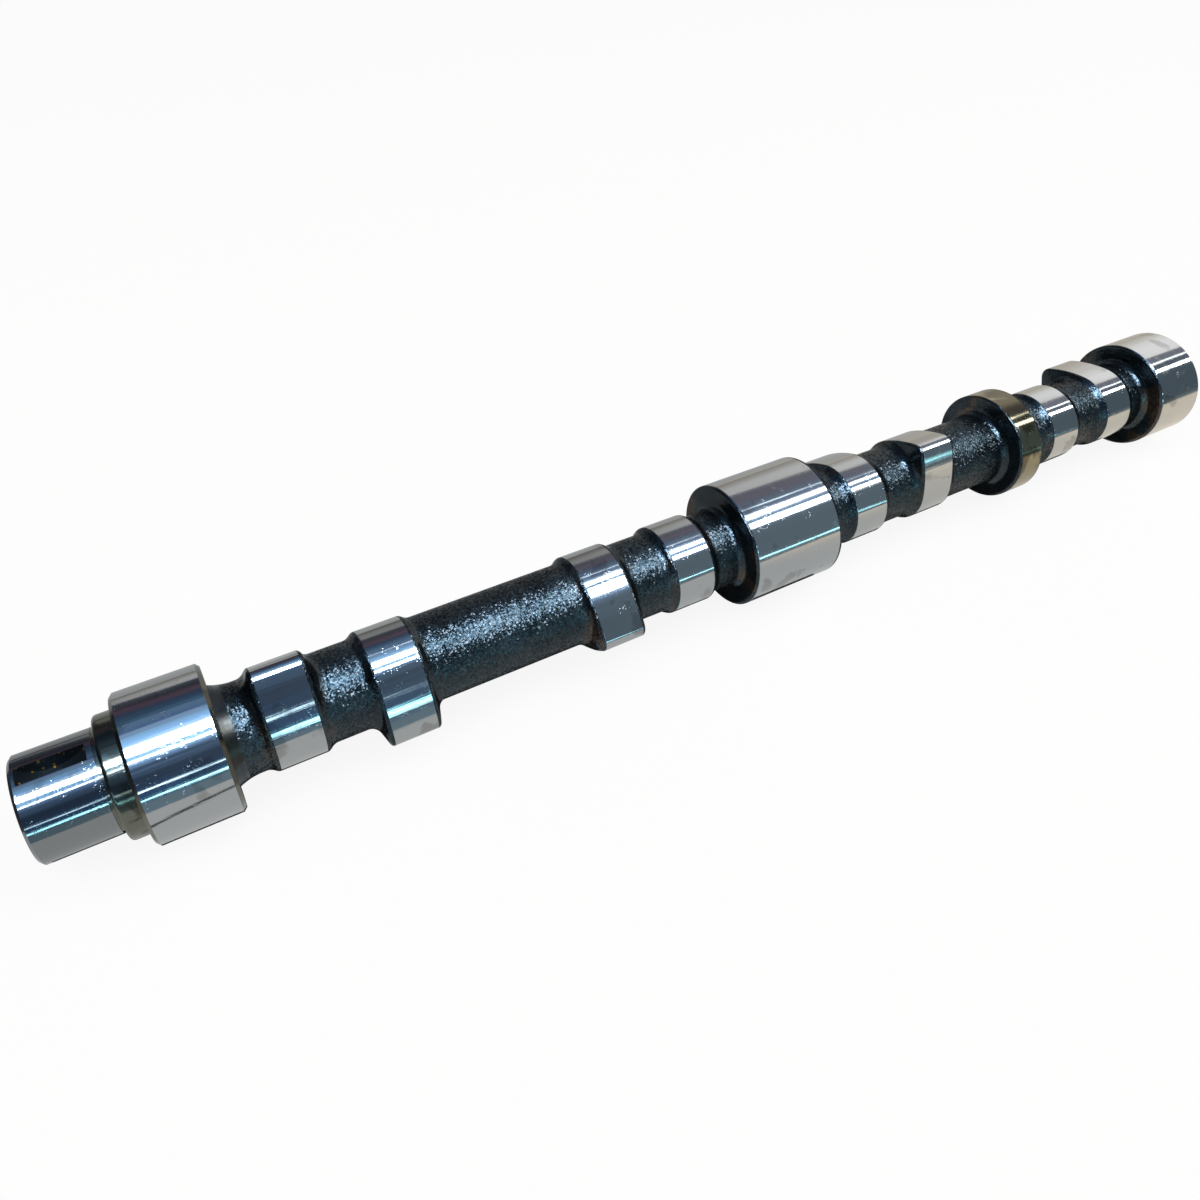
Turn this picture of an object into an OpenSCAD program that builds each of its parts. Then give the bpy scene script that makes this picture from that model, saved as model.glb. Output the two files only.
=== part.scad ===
// Camshaft of a four-cylinder diesel engine with push rods: a chilled iron casting, turned and ground.
// The axis lies along X with the gear end at -X. The origin is the centre of the front journal.
// Angles are measured about the axis from straight up (+Z), where the keyseat is, towards -Y.

/* [Layout along the axis] */
// Front journal's centre to middle journal's centre
front_span = 232.1; // [228:0.1:260]
// Middle journal's centre to rear journal's centre
rear_span = 232.1; // [228:0.1:260]
// Cylinder 2's centre to cylinder 3's centre, across the middle journal
middle_bore_pitch = 123.8; // [118:0.1:128]
// Cylinder 1 to 2, and cylinder 3 to 4
outer_bore_pitch = 117; // [108:0.1:120]
// Centre distance of the two lobes of one cylinder
valve_pitch = 36.4; // [30:0.1:40]
// Middle journal's centre to the pump eccentric's centre
eccentric_station = 129.6; // [124:0.1:134]

/* [Bearing journals] */
// Diameter of the front journal, the largest, so that the shaft slides in from the front
front_journal_d = 50.72; // [50.6:0.01:54]
// Diameter of the middle journal
middle_journal_d = 50.46; // [50.3:0.01:54]
// Diameter of the rear journal
rear_journal_d = 49.96; // [49.9:0.01:54]
// Width of the front journal
front_journal_w = 27.8; // [20:0.1:32]
// Width of the middle journal
middle_journal_w = 40.4; // [30:0.1:46]
// Width of the rear journal
rear_journal_w = 27.8; // [20:0.1:32]
// Chamfer on the turned edges of the journals
journal_chamfer = 1.2; // [0.4:0.1:2]

/* [Cam lobes] */
// Diameter of the base circle
base_circle_d = 35.3; // [34:0.1:38]
// Lift above the base circle
lift = 7.25; // [5:0.05:7.25]
// Radius of the nose
nose_r = 4.5; // [3.5:0.1:7]
// Radius of the convex flanks between the base circle and the nose
flank_r = 57; // [45:1:90]
// Width of the ground land
lobe_w = 15.8; // [12:0.1:18]
// Angle from the first lobe of a cylinder to its second
lobe_separation = 109; // [100:0.5:120]
// Angle of the first lobe of cylinders 1 to 4, for the firing order 1-3-4-2
cylinder_phase = [0, 90, 270, 180]; // [0:1:360]

/* [Pump eccentric] */
// Diameter of the eccentric
eccentric_d = 47.7; // [44:0.1:47.8]
// Offset of its centre from the axis
eccentric_throw = 1.2; // [0.5:0.05:1.2]
// Width of its ground land
eccentric_w = 11.6; // [8:0.1:16]
// Angle of its high side
eccentric_phase = 30; // [0:1:360]

/* [Casting between the lands] */
// Diameter of the cast shaft
shaft_d = 31.66; // [28:0.02:33]
// Axial depth of the unground corner beside a land
corner_depth = 0.9; // [0.4:0.1:1.4]
// Height of the same corner below the land
corner_drop = 0.6; // [0.3:0.1:1]
// Draft angle of the lobes' cast sides
draft = 17; // [10:0.5:22]
// Fillet from the shaft up to a lobe's side
lobe_fillet = 3; // [2:0.1:5]
// Fillet from the shaft up to a journal's or the eccentric's side
face_fillet = 3; // [1.5:0.1:5]
// Diameter of the thick end of the neck behind the front journal
neck_d = 35; // [34:0.1:36]
// Radius of the concave neck behind the front journal
neck_r = 19; // [12:0.5:24]

/* [Gear end] */
// Diameter of the thrust collar
collar_d = 41.2; // [37:0.1:44]
// Width of the thrust collar
collar_w = 6.4; // [4:0.1:12]
// Rounding of the collar's front edge
collar_round = 1.4; // [0.5:0.1:2]
// Diameter of the gear seat
gear_seat_d = 34.84; // [30:0.01:36]
// Length of the gear seat
gear_seat_l = 24.5; // [24:0.1:34]
// Chamfer on the gear seat's end
gear_seat_chamfer = 1; // [0.5:0.1:2]
// Width of the grinding relief between the gear seat and the collar
relief_w = 1.2; // [0.6:0.1:2]
// Depth of the grinding relief
relief_depth = 0.5; // [0.2:0.1:1]

/* [Keyseat and drillings] */
// Width of the half-round key
key_w = 6.35; // [5:0.05:8]
// Diameter of the half-round key
key_d = 22.2; // [19:0.1:22.2]
// Depth of the keyseat below the top of the gear seat
key_depth = 6; // [4:0.1:7]
// Grinding relief to the centre of the keyseat
key_from_relief = 11.6; // [11.6:0.1:12.4]
// Tapping drill of the gear bolt's hole
gear_bolt_drill_d = 10.2; // [8.5:0.1:12]
// Depth of the tapping drill
gear_bolt_depth = 34; // [25:1:45]
// Diameter at the mouth of the centre holes in both end faces
centre_mouth_d = 14; // [12.5:0.1:16]
// Depth of the parallel part of the rear centre hole
rear_centre_depth = 6; // [3:0.5:12]
// Diameter of the parallel part of the rear centre hole
rear_centre_d = 5; // [3:0.1:6]
// Diameter of the oil drain hole along the rear journal
drain_d = 5; // [3:0.1:6]
// Distance of the drain hole from the axis
drain_r = 17.4; // [17:0.1:19]
// Angle of the drain hole
drain_phase = -8; // [-30:1:30]
// Distance that the drain drill's full width runs past the rear journal's front face
drain_breakout = 1; // [0.5:0.1:3]

/* [Hidden] */
$fn = 180;

cast_colour = "#23292d";
ground_colour = "#c2c6c8";
tinted_colour = "#8d8156";

drill_point = 118;
centre_angle = 60;
overcut = 1;
wedge_margin = 3;
// Tangent surfaces are sunk by this much into each other, so that they cross in a clean edge.
seam = 0.01;
// A fillet stops at this share of its radius up the wall, as a cast one does.
fillet_share = 0.9;
// A fillet's outline runs on above its end by this share of its radius, inside the wall.
lip_share = 0.05;
// Height of the cast step between a lobe's fillet and its corner
fillet_step = 0.1;

shaft_r = shaft_d / 2;
base_r = base_circle_d / 2;
middle_x = front_span;
rear_x = middle_x + rear_span;
collar_x = -front_journal_w / 2;
gear_seat_x = collar_x - collar_w;
front_end_x = gear_seat_x - gear_seat_l;
rear_end_x = rear_x + rear_journal_w / 2;
eccentric_x = middle_x + eccentric_station;
key_x = gear_seat_x - relief_w - key_from_relief;

cylinder_x = [for (side = [-1, 1], outer = side < 0 ? [1, 0] : [0, 1])
    middle_x + side * (middle_bore_pitch / 2 + outer * outer_bore_pitch)];
lobe_x = [for (x = cylinder_x, side = [-1, 1]) x + side * valve_pitch / 2];
lobe_angle = [for (a = cylinder_phase, second = [0, 1]) a + second * lobe_separation];

// The profile is three tangent arcs a side, and each arc keeps its centre when the outline shrinks.
nose_x = base_r + lift - nose_r;
flank_x = (pow(flank_r - base_r, 2) - pow(flank_r - nose_r, 2) + pow(nose_x, 2)) / (2 * nose_x);
flank_y = -sqrt(pow(flank_r - base_r, 2) - pow(flank_x, 2));
to_base = -[flank_x, flank_y] / (flank_r - base_r);
to_nose = ([nose_x, 0] - [flank_x, flank_y]) / (flank_r - nose_r);

side_drop = base_r + lift - shaft_r + overcut;
side_depth = (side_drop - corner_drop) * tan(draft);
lobe_rise = base_r - corner_drop - fillet_step - shaft_r;
face_rise = face_fillet * fillet_share;

function flip(p) = [p[0], -p[1]];
function arc_run(radius, height) = sqrt(pow(radius, 2) - pow(radius - height, 2));

// Places a shape drawn along Z at a station of the axis, with its own +X turned to the angle.
module at_station(x, angle = 0)
    translate([x, 0, 0]) rotate([angle + 180, 0, 0]) rotate([0, 90, 0]) children();

// A solid of revolution about X. The outline is drawn with X as the station and Y as the radius.
module turned() rotate([90, 0, 90]) rotate_extrude() mirror([1, -1]) children();

// Outline of a plain cylinder from one station to another.
module bar(from, to, r) translate([from, 0]) square([to - from, r]);

// Outline of a disc with a chamfer or a dropped corner at both ends.
module disc(centre, w, r, run, drop) {
    polygon([
        [centre - w / 2, 0],
        [centre - w / 2, r - drop],
        [centre - w / 2 + run, r],
        [centre + w / 2 - run, r],
        [centre + w / 2, r - drop],
        [centre + w / 2, 0]
    ]);
}

// Outline of a concave fillet that rises from the shaft to a wall at x, on the side given by +1 or -1.
module fillet(x, side, radius, height) {
    run = arc_run(radius, height);
    lip = radius * lip_share;
    translate([x, shaft_r]) mirror([side < 0 ? 1 : 0, 0]) difference() {
        translate([-overcut, -overcut]) square([run + overcut, height + lip + overcut]);
        translate([run, radius - seam]) circle(radius);
    }
}

// Cam outline that shrinks by the inset over its height, as the drafted side of a casting does.
module cam_solid(h, start, inset) {
    wedge = [
        [0, 0],
        (base_r + wedge_margin) * to_base,
        [nose_x, 0] + (nose_r + wedge_margin) * to_nose,
        [nose_x, 0],
        [nose_x, 0] + (nose_r + wedge_margin) * flip(to_nose),
        (base_r + wedge_margin) * flip(to_base)
    ];
    nose_share = inset > nose_r - start ? (nose_r - start) / inset : 1;
    cylinder(h = h, r1 = base_r - start, r2 = base_r - start - inset);
    if (start < nose_r)
        translate([nose_x, 0, 0])
            cylinder(h = h * nose_share, r1 = nose_r - start, r2 = nose_r - start - inset * nose_share);
    intersection() {
        linear_extrude(h) polygon(wedge);
        intersection_for(side = [-1, 1])
            translate([flank_x, side * flank_y, 0])
                cylinder(h = h, r1 = flank_r - seam - start, r2 = flank_r - seam - start - inset);
    }
}

module lobe_land() color(ground_colour)
    translate([0, 0, -lobe_w / 2]) cam_solid(lobe_w, 0, 0);

module lobe_side() color(cast_colour) translate([0, 0, lobe_w / 2]) {
    cam_solid(corner_depth, 0, corner_drop);
    translate([0, 0, corner_depth]) cam_solid(side_depth, corner_drop, side_drop - corner_drop);
}

module lobe(number) at_station(lobe_x[number], lobe_angle[number]) {
    lobe_land();
    for (end = [0, 1]) mirror([0, 0, end]) lobe_side();
}

module eccentric() at_station(eccentric_x, eccentric_phase) translate([eccentric_throw, 0, 0]) {
    color(tinted_colour) cylinder(h = eccentric_w, d = eccentric_d, center = true);
    color(cast_colour) for (end = [0, 1]) mirror([0, 0, end]) translate([0, 0, eccentric_w / 2])
        cylinder(h = corner_depth, r1 = eccentric_d / 2, r2 = eccentric_d / 2 - corner_drop);
}

module cast_shaft() color(cast_colour) turned() {
    bar(0, rear_x, shaft_r);
    for (x = lobe_x, side = [-1, 1])
        fillet(x + side * (lobe_w / 2 + corner_depth), side, lobe_fillet, lobe_rise);
    for (side = [-1, 1]) {
        fillet(middle_x + side * middle_journal_w / 2, side, face_fillet, face_rise);
        fillet(eccentric_x + side * (eccentric_w / 2 + corner_depth), side, face_fillet, face_rise);
    }
    fillet(rear_x - rear_journal_w / 2, -1, face_fillet, face_rise);
    fillet(front_journal_w / 2, 1, neck_r, neck_d / 2 - shaft_r);
}

module journals() color(ground_colour) turned() {
    disc(0, front_journal_w, front_journal_d / 2, journal_chamfer, journal_chamfer);
    disc(middle_x, middle_journal_w, middle_journal_d / 2, corner_depth, corner_drop);
    disc(rear_x, rear_journal_w, rear_journal_d / 2, journal_chamfer, journal_chamfer);
}

module gear_end() color(ground_colour) turned() {
    difference() {
        bar(gear_seat_x, 0, collar_d / 2);
        translate([gear_seat_x, collar_d / 2]) difference() {
            translate([-overcut, -collar_round]) square(collar_round + overcut);
            translate([collar_round, -collar_round]) circle(collar_round);
        }
    }
    difference() {
        bar(front_end_x, 0, gear_seat_d / 2);
        translate([gear_seat_x - relief_w, gear_seat_d / 2 - relief_depth]) square([relief_w, overcut]);
        polygon([
            [front_end_x - overcut, gear_seat_d / 2 - gear_seat_chamfer - overcut],
            [front_end_x + gear_seat_chamfer + overcut, gear_seat_d / 2 + overcut],
            [front_end_x - overcut, gear_seat_d / 2 + overcut]
        ]);
    }
}

module keyseat()
    translate([key_x, 0, gear_seat_d / 2 - key_depth + key_d / 2])
        rotate([90, 0, 0]) cylinder(h = key_w, d = key_d, center = true);

module drill_tip(d) cylinder(h = d / 2 / tan(drill_point / 2), d1 = d, d2 = 0);

// A centre hole with a drilling behind it, whose mouth is at the station and which goes towards +Z.
module centre_hole(d, depth) {
    mouth_depth = (centre_mouth_d - d) / 2 / tan(centre_angle / 2);
    translate([0, 0, -overcut]) cylinder(h = depth + overcut, d = d);
    translate([0, 0, depth]) drill_tip(d);
    cylinder(h = mouth_depth, d1 = centre_mouth_d, d2 = d);
}

// Drilled from the rear end, it breaks out of the fillet at the rear journal's front face.
module drain_hole()
    at_station(rear_end_x, drain_phase) translate([drain_r, 0, 0]) mirror([0, 0, 1]) {
        translate([0, 0, -overcut]) cylinder(h = rear_journal_w + drain_breakout + overcut, d = drain_d);
        translate([0, 0, rear_journal_w + drain_breakout]) drill_tip(drain_d);
    }

module camshaft() difference() {
    union() {
        cast_shaft();
        journals();
        gear_end();
        for (number = [0 : len(lobe_x) - 1]) lobe(number);
        eccentric();
    }
    keyseat();
    at_station(front_end_x) centre_hole(gear_bolt_drill_d, gear_bolt_depth);
    at_station(rear_end_x) mirror([0, 0, 1]) centre_hole(rear_centre_d, rear_centre_depth);
    drain_hole();
}

camshaft();
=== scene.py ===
import math

import bmesh
import bpy
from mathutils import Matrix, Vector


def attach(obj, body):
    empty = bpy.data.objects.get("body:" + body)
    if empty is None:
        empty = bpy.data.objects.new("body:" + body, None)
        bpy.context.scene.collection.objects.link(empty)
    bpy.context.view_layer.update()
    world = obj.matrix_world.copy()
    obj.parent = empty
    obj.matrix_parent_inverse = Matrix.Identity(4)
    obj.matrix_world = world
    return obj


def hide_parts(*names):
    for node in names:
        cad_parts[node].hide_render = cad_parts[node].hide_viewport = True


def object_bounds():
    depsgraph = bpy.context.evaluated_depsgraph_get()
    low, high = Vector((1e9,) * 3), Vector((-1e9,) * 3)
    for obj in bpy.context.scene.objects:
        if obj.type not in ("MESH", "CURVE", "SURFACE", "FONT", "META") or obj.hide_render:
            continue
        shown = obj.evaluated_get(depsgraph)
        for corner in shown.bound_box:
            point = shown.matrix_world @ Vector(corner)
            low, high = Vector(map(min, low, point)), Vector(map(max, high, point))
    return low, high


# Camshaft of a four-cylinder diesel: one chilled iron casting, black and oily where it was left as
# cast, and bright where it was turned and ground. The axis is X, the keyseat faces +Z.
# Sizes are in millimetres, angles in degrees from straight up (+Z) towards the viewer's side (-Y).

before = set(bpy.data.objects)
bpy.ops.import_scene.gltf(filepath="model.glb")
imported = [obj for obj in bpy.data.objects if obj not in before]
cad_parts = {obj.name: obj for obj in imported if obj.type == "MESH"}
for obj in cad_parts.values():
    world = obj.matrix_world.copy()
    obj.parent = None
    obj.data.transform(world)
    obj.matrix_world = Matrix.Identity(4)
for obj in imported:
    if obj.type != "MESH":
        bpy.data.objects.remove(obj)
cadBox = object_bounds()
mm = 0.001
print("frame loaded, box", [round(v / mm, 2) for corner in cadBox for v in corner])

doublesWithin = 0.0005 * mm  # points closer than this become one
sharpFrom = 32  # degrees between two faces, from which their edge stays crisp


def hexColour(code):
    # sRGB hex to linear
    parts = [int(code[i:i + 2], 16) / 255 for i in (1, 3, 5)]
    return tuple(c / 12.92 if c <= 0.04045 else ((c + 0.055) / 1.055) ** 2.4 for c in parts) + (1.0,)


def scaleFor(size):
    # pattern scale that draws one grain, mark or patch this many millimetres wide
    return 1 / (size * mm)


def addNode(tree, kind, links=(), **settings):
    node = tree.nodes.new(kind)
    for name, value in settings.items():
        setattr(node, name, value)
    for socket, value in dict(links).items():
        if isinstance(value, bpy.types.Node):
            value = value.outputs[0]  # a node stands for its first output
        if isinstance(value, bpy.types.NodeSocket):
            tree.links.new(value, node.inputs[socket])
        else:
            node.inputs[socket].default_value = value
    return node


def newMaterial(name):
    material = bpy.data.materials.new(name)
    material.use_nodes = True
    material.node_tree.nodes.clear()
    return material, material.node_tree


def fillRamp(ramp, steps):
    # a new ramp already has two steps
    for number, (place, code) in enumerate(steps):
        step = ramp.elements[number] if number < 2 else ramp.elements.new(place)
        step.position, step.color = place, hexColour(code)


# Materials


def groundIron(name, cleanHex, stainHex, stainFrom, roughness):
    # Cylindrically ground chilled iron: a dark mirror round the shaft, dragged out along it by the wheel's
    # marks, with faint smears of oil, and fine dust and droplets that catch the lamps. Faces square to the
    # shaft show the turning tool's rings.
    material, tree = newMaterial(name)
    where = addNode(tree, "ShaderNodeTexCoord").outputs["Object"]
    alongShaft = addNode(tree, "ShaderNodeMapping", {
        "Vector": where, "Scale": (scaleFor(45), scaleFor(0.91), scaleFor(0.91))})
    chatter = addNode(tree, "ShaderNodeTexNoise", {"Vector": alongShaft, "Scale": 1.0, "Detail": 2.0})
    roundShaft = addNode(tree, "ShaderNodeMapping", {
        "Vector": where, "Scale": (scaleFor(0.385), scaleFor(33), scaleFor(33))})
    wheelMarks = addNode(tree, "ShaderNodeTexNoise", {"Vector": roundShaft, "Scale": 1.0, "Detail": 2.0})
    smear = addNode(tree, "ShaderNodeTexNoise", {
        "Vector": where, "Scale": scaleFor(18.18), "Detail": 3.0, "Roughness": 0.5, "Distortion": 0.3})
    oiled = addNode(tree, "ShaderNodeMapRange", {
        "Value": smear, "From Min": stainFrom, "From Max": stainFrom + 0.05})
    dustCells = addNode(tree, "ShaderNodeTexVoronoi", {"Vector": where, "Scale": scaleFor(0.667)})
    dust = addNode(tree, "ShaderNodeMapRange", {
        "Value": dustCells, "From Min": 0.12, "From Max": 0.28, "To Min": 1.0, "To Max": 0.0})
    dusty = addNode(tree, "ShaderNodeTexNoise", {"Vector": where, "Scale": scaleFor(5.26), "Detail": 3.0})
    dustShare = addNode(tree, "ShaderNodeMapRange", {"Value": dusty, "From Min": 0.57, "From Max": 0.67})
    specks = addNode(tree, "ShaderNodeMath", {0: dust, 1: dustShare}, operation="MULTIPLY")
    colour = addNode(tree, "ShaderNodeMixRGB", {
        "Fac": oiled, "Color1": hexColour(cleanHex), "Color2": hexColour(stainHex)})
    polished = addNode(tree, "ShaderNodeMapRange", {
        "Value": wheelMarks, "From Min": 0.3, "From Max": 0.7,
        "To Min": roughness * 0.75, "To Max": roughness * 1.3})
    rough = addNode(tree, "ShaderNodeMath", {0: specks, 1: 0.3, 2: polished}, operation="MULTIPLY_ADD")
    chatterBump = addNode(tree, "ShaderNodeBump", {
        "Height": chatter, "Strength": 1.0, "Distance": 0.016 * mm})
    speckBump = addNode(tree, "ShaderNodeBump", {
        "Height": specks, "Strength": 1.0, "Distance": 0.035 * mm, "Normal": chatterBump})
    acrossShaft = addNode(tree, "ShaderNodeVectorMath", {0: where, 1: (0.0, 1.0, 1.0)}, operation="MULTIPLY")
    fromAxis = addNode(tree, "ShaderNodeVectorMath", {0: acrossShaft}, operation="LENGTH")
    rings = addNode(tree, "ShaderNodeTexNoise", {
        "W": fromAxis.outputs["Value"], "Scale": scaleFor(0.77), "Detail": 3.0}, noise_dimensions="1D")
    smooth = addNode(tree, "ShaderNodeNewGeometry").outputs["Normal"]
    axes = addNode(tree, "ShaderNodeSeparateXYZ", {0: smooth})
    square = addNode(tree, "ShaderNodeMath", {0: axes, 1: axes}, operation="MULTIPLY")
    ringBump = addNode(tree, "ShaderNodeBump", {
        "Height": rings, "Strength": square, "Distance": 0.05 * mm, "Normal": speckBump})
    grain = addNode(tree, "ShaderNodeTangent", direction_type="RADIAL", axis="X")
    shader = addNode(tree, "ShaderNodeBsdfPrincipled", {
        "Base Color": colour, "Metallic": 1.0, "Roughness": rough, "Anisotropic": 0.85,
        "Anisotropic Rotation": 0.25, "Tangent": grain, "Normal": ringBump})
    addNode(tree, "ShaderNodeOutputMaterial", {"Surface": shader})
    return material


def castSkin(name):
    # Shot-blasted as-cast skin under rust-preventive oil: almost black, and each grain is a small wet facet
    # that glints when it faces a lamp. Grains are drawn half a millimetre wide, larger than the real ones,
    # to be seen at all. They lie flatter on the sides and in some patches. Here and there on the side faces,
    # brown patches stand partly for dried oil and partly for the warm floor reflected there, a painted
    # reflection. The iron below the oil follows the grains only in part and shines softly, and it reflects
    # little at a glancing view, because the grains shade each other.
    material, tree = newMaterial(name)
    where = addNode(tree, "ShaderNodeTexCoord").outputs["Object"]
    patch = addNode(tree, "ShaderNodeTexNoise", {
        "Vector": where, "Scale": scaleFor(16.67), "Detail": 5.0, "Roughness": 0.65})
    tone = addNode(tree, "ShaderNodeValToRGB", {"Fac": patch})
    fillRamp(tone.color_ramp, [(0.36, "#212b30"), (0.66, "#343f45")])
    smooth = addNode(tree, "ShaderNodeNewGeometry").outputs["Normal"]
    axes = addNode(tree, "ShaderNodeSeparateXYZ", {0: smooth})
    sideways = addNode(tree, "ShaderNodeMath", {0: axes}, operation="ABSOLUTE")
    # painted reflection: brown patches on the side faces, partly dried oil and partly the warm floor
    # reflected there
    dryOilAndReflectionNoise = addNode(tree, "ShaderNodeTexNoise", {
        "Vector": where, "Scale": scaleFor(16.67), "Detail": 2.0, "Distortion": 0.4})
    dryOilAndReflectionPatch = addNode(tree, "ShaderNodeMapRange", {"Value": dryOilAndReflectionNoise, "From Min": 0.56, "From Max": 0.62})
    dryOilAndReflectionOnSides = addNode(tree, "ShaderNodeMath", {0: dryOilAndReflectionPatch, 1: sideways}, operation="MULTIPLY")
    oiled = addNode(tree, "ShaderNodeMixRGB", {"Fac": dryOilAndReflectionOnSides, "Color1": tone, "Color2": hexColour("#50463f")})
    grains = addNode(tree, "ShaderNodeTexVoronoi", {"Vector": where, "Scale": scaleFor(0.54)})
    oneGrain = addNode(tree, "ShaderNodeSeparateXYZ", {0: grains.outputs["Color"]})
    grainTone = addNode(tree, "ShaderNodeMapRange", {"Value": oneGrain, "To Min": 0.5, "To Max": 1.5})
    colour = addNode(tree, "ShaderNodeVectorMath", {0: oiled, "Scale": grainTone}, operation="SCALE")
    rougher = addNode(tree, "ShaderNodeMapRange", {
        "Value": patch, "From Min": 0.3, "From Max": 0.7, "To Min": 0.24, "To Max": 0.34})
    wetter = addNode(tree, "ShaderNodeMapRange", {
        "Value": sideways, "From Min": 0.2, "From Max": 0.6, "To Min": 1.0, "To Max": 0.6})
    rough = addNode(tree, "ShaderNodeMath", {0: rougher, 1: wetter}, operation="MULTIPLY")
    flatter = addNode(tree, "ShaderNodeMapRange", {
        "Value": sideways, "From Min": 0.15, "From Max": 0.7, "To Min": 0.6, "To Max": 0.1})
    blasted = addNode(tree, "ShaderNodeTexNoise", {"Vector": where, "Scale": scaleFor(38.5), "Detail": 1.0})
    blast = addNode(tree, "ShaderNodeMapRange", {
        "Value": blasted, "From Min": 0.38, "From Max": 0.62, "To Min": 0.9, "To Max": 1.2})
    tilt = addNode(tree, "ShaderNodeMath", {0: flatter, 1: blast}, operation="MULTIPLY")
    grainTilt = addNode(tree, "ShaderNodeVectorMath", {
        0: grains.outputs["Color"], 1: (0.5, 0.5, 0.5)}, operation="SUBTRACT")
    tilted = addNode(tree, "ShaderNodeVectorMath", {0: grainTilt, "Scale": tilt}, operation="SCALE")
    leaning = addNode(tree, "ShaderNodeVectorMath", {0: tilted, 1: smooth}, operation="ADD")
    facet = addNode(tree, "ShaderNodeVectorMath", {0: leaning}, operation="NORMALIZE")
    lessTilted = addNode(tree, "ShaderNodeVectorMath", {
        0: tilted, 1: (0.55, 0.55, 0.55), 2: smooth}, operation="MULTIPLY_ADD")
    body = addNode(tree, "ShaderNodeVectorMath", {0: lessTilted}, operation="NORMALIZE")
    pits = addNode(tree, "ShaderNodeTexNoise", {"Vector": where, "Scale": scaleFor(0.667), "Detail": 1.0})
    pitBump = addNode(tree, "ShaderNodeBump", {
        "Height": pits, "Strength": 1.0, "Distance": 0.08 * mm, "Normal": body})
    shader = addNode(tree, "ShaderNodeBsdfPrincipled", {
        "Base Color": colour, "Metallic": 0.88, "Roughness": rough, "Specular Tint": (0.3, 0.32, 0.34, 1),
        "Coat Weight": 0.4, "Coat Roughness": 0.1, "Normal": pitBump, "Coat Normal": facet})
    addNode(tree, "ShaderNodeOutputMaterial", {"Surface": shader})
    return material


def shadedRecessWalls(name):
    # Drilled and milled walls, painted dark for the shade inside these recesses, with bright gold-brown
    # flecks that are painted glints of reflected light
    material, tree = newMaterial(name)
    where = addNode(tree, "ShaderNodeTexCoord").outputs["Object"]
    paintedGlints = addNode(tree, "ShaderNodeTexVoronoi", {"Vector": where, "Scale": scaleFor(2.38)})
    # painted glints: the gold-brown flecks; painted shade: the dark tone of the recess walls
    tone = addNode(tree, "ShaderNodeValToRGB", {"Fac": paintedGlints})
    fillRamp(tone.color_ramp, [(0.13, "#c79a4e"), (0.2, "#2b353c")])
    shader = addNode(tree, "ShaderNodeBsdfPrincipled", {
        "Base Color": tone, "Metallic": 0.7, "Roughness": 0.3})
    addNode(tree, "ShaderNodeOutputMaterial", {"Surface": shader})
    return material


# The ground irons differ in how clean they are and how fine they were cut: lands are bright, the gear seat
# is greyer, the eccentric has a brass tint from its oil film, and turned or faced places are duller.
finishes = {
    "cast": castSkin("castSkinOiled"),
    "ground": groundIron("groundChilledIron", "#bcbdbe", "#a3a2a3", 0.6, 0.1),
    "seat": groundIron("groundSeatIron", "#949698", "#83817f", 0.6, 0.11),
    "tinted": groundIron("groundIronOilTinted", "#948c76", "#67604e", 0.47, 0.12),
    "collar": groundIron("turnedCollarIron", "#79796f", "#5b584e", 0.5, 0.16),
    "faced": groundIron("facedEndIron", "#7d7f7e", "#6f6e69", 0.52, 0.2),
    "neck": groundIron("oiledNeckIron", "#555b5f", "#4c4a45", 0.5, 0.42),
    "thread": groundIron("cutThreadIron", "#8d8c88", "#5d574a", 0.5, 0.2),
    "bore": shadedRecessWalls("boreIronPaintedShade"),
}
print("materials ready")

# Cam outline rule: base circle, flank arc and nose arc, each tangent to the next

lobe = {
    "base": 17.65,
    "lift": 7.25,
    "nose": 4.5,
    "flank": 57.0,
    "width": 15.8,
    "edgeBreak": 0.12,
    "stations": (35.0, 71.4, 152.0, 188.4, 275.8, 312.2, 392.8, 429.2),
    "phases": (0, 109, 90, 199, 270, 19, 180, 289),
    "rows": 12,
    "around": 360,
}

noseX = lobe["base"] + lobe["lift"] - lobe["nose"]
baseGap = lobe["flank"] - lobe["base"]
noseGap = lobe["flank"] - lobe["nose"]
flankX = (baseGap ** 2 - noseGap ** 2 + noseX ** 2) / (2 * noseX)
flankY = -math.sqrt(baseGap ** 2 - flankX ** 2)
noseEnd = math.atan2(-flankY / noseGap * lobe["nose"], noseX + (noseX - flankX) / noseGap * lobe["nose"])
flankEnd = math.atan2(-flankY, -flankX)

wallInputs = ("Phase", "Cam", "Radius", "Throw", "Corner", "Draft", "Fillet")
netInputs = {"Geometry": ["Geometry"], "Int": ["Rows", "Columns"], "Material": ["Finish"]}
netOutput = {"Geometry": ["Geometry"]}
capRows = 2  # rows of a net that close each end of it: one at the axis and one tucked in


def openTree(name, inputs, outputs):
    # A new tree with its named inputs and outputs, and what its inputs give to start from
    tree = bpy.data.node_groups.new(name, "GeometryNodeTree")
    for side, sockets in (("INPUT", inputs), ("OUTPUT", outputs)):
        for kind, titles in sockets.items():
            for title in titles:
                tree.interface.new_socket(name=title, in_out=side, socket_type="NodeSocket" + kind)
    return tree, {socket.name: socket for socket in addNode(tree, "NodeGroupInput").outputs}


def addRule(tree, known, steps):
    # Each step gives its name, what is done, and numbers or the names of earlier steps. A Share is kept
    # within 0 and 1.
    for name, operation, *values in steps:
        links = {slot: known.get(value, value) for slot, value in enumerate(values)}
        known[name] = addNode(
            tree, "ShaderNodeMath", links, operation=operation, use_clamp=name.endswith("Share"))


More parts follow.
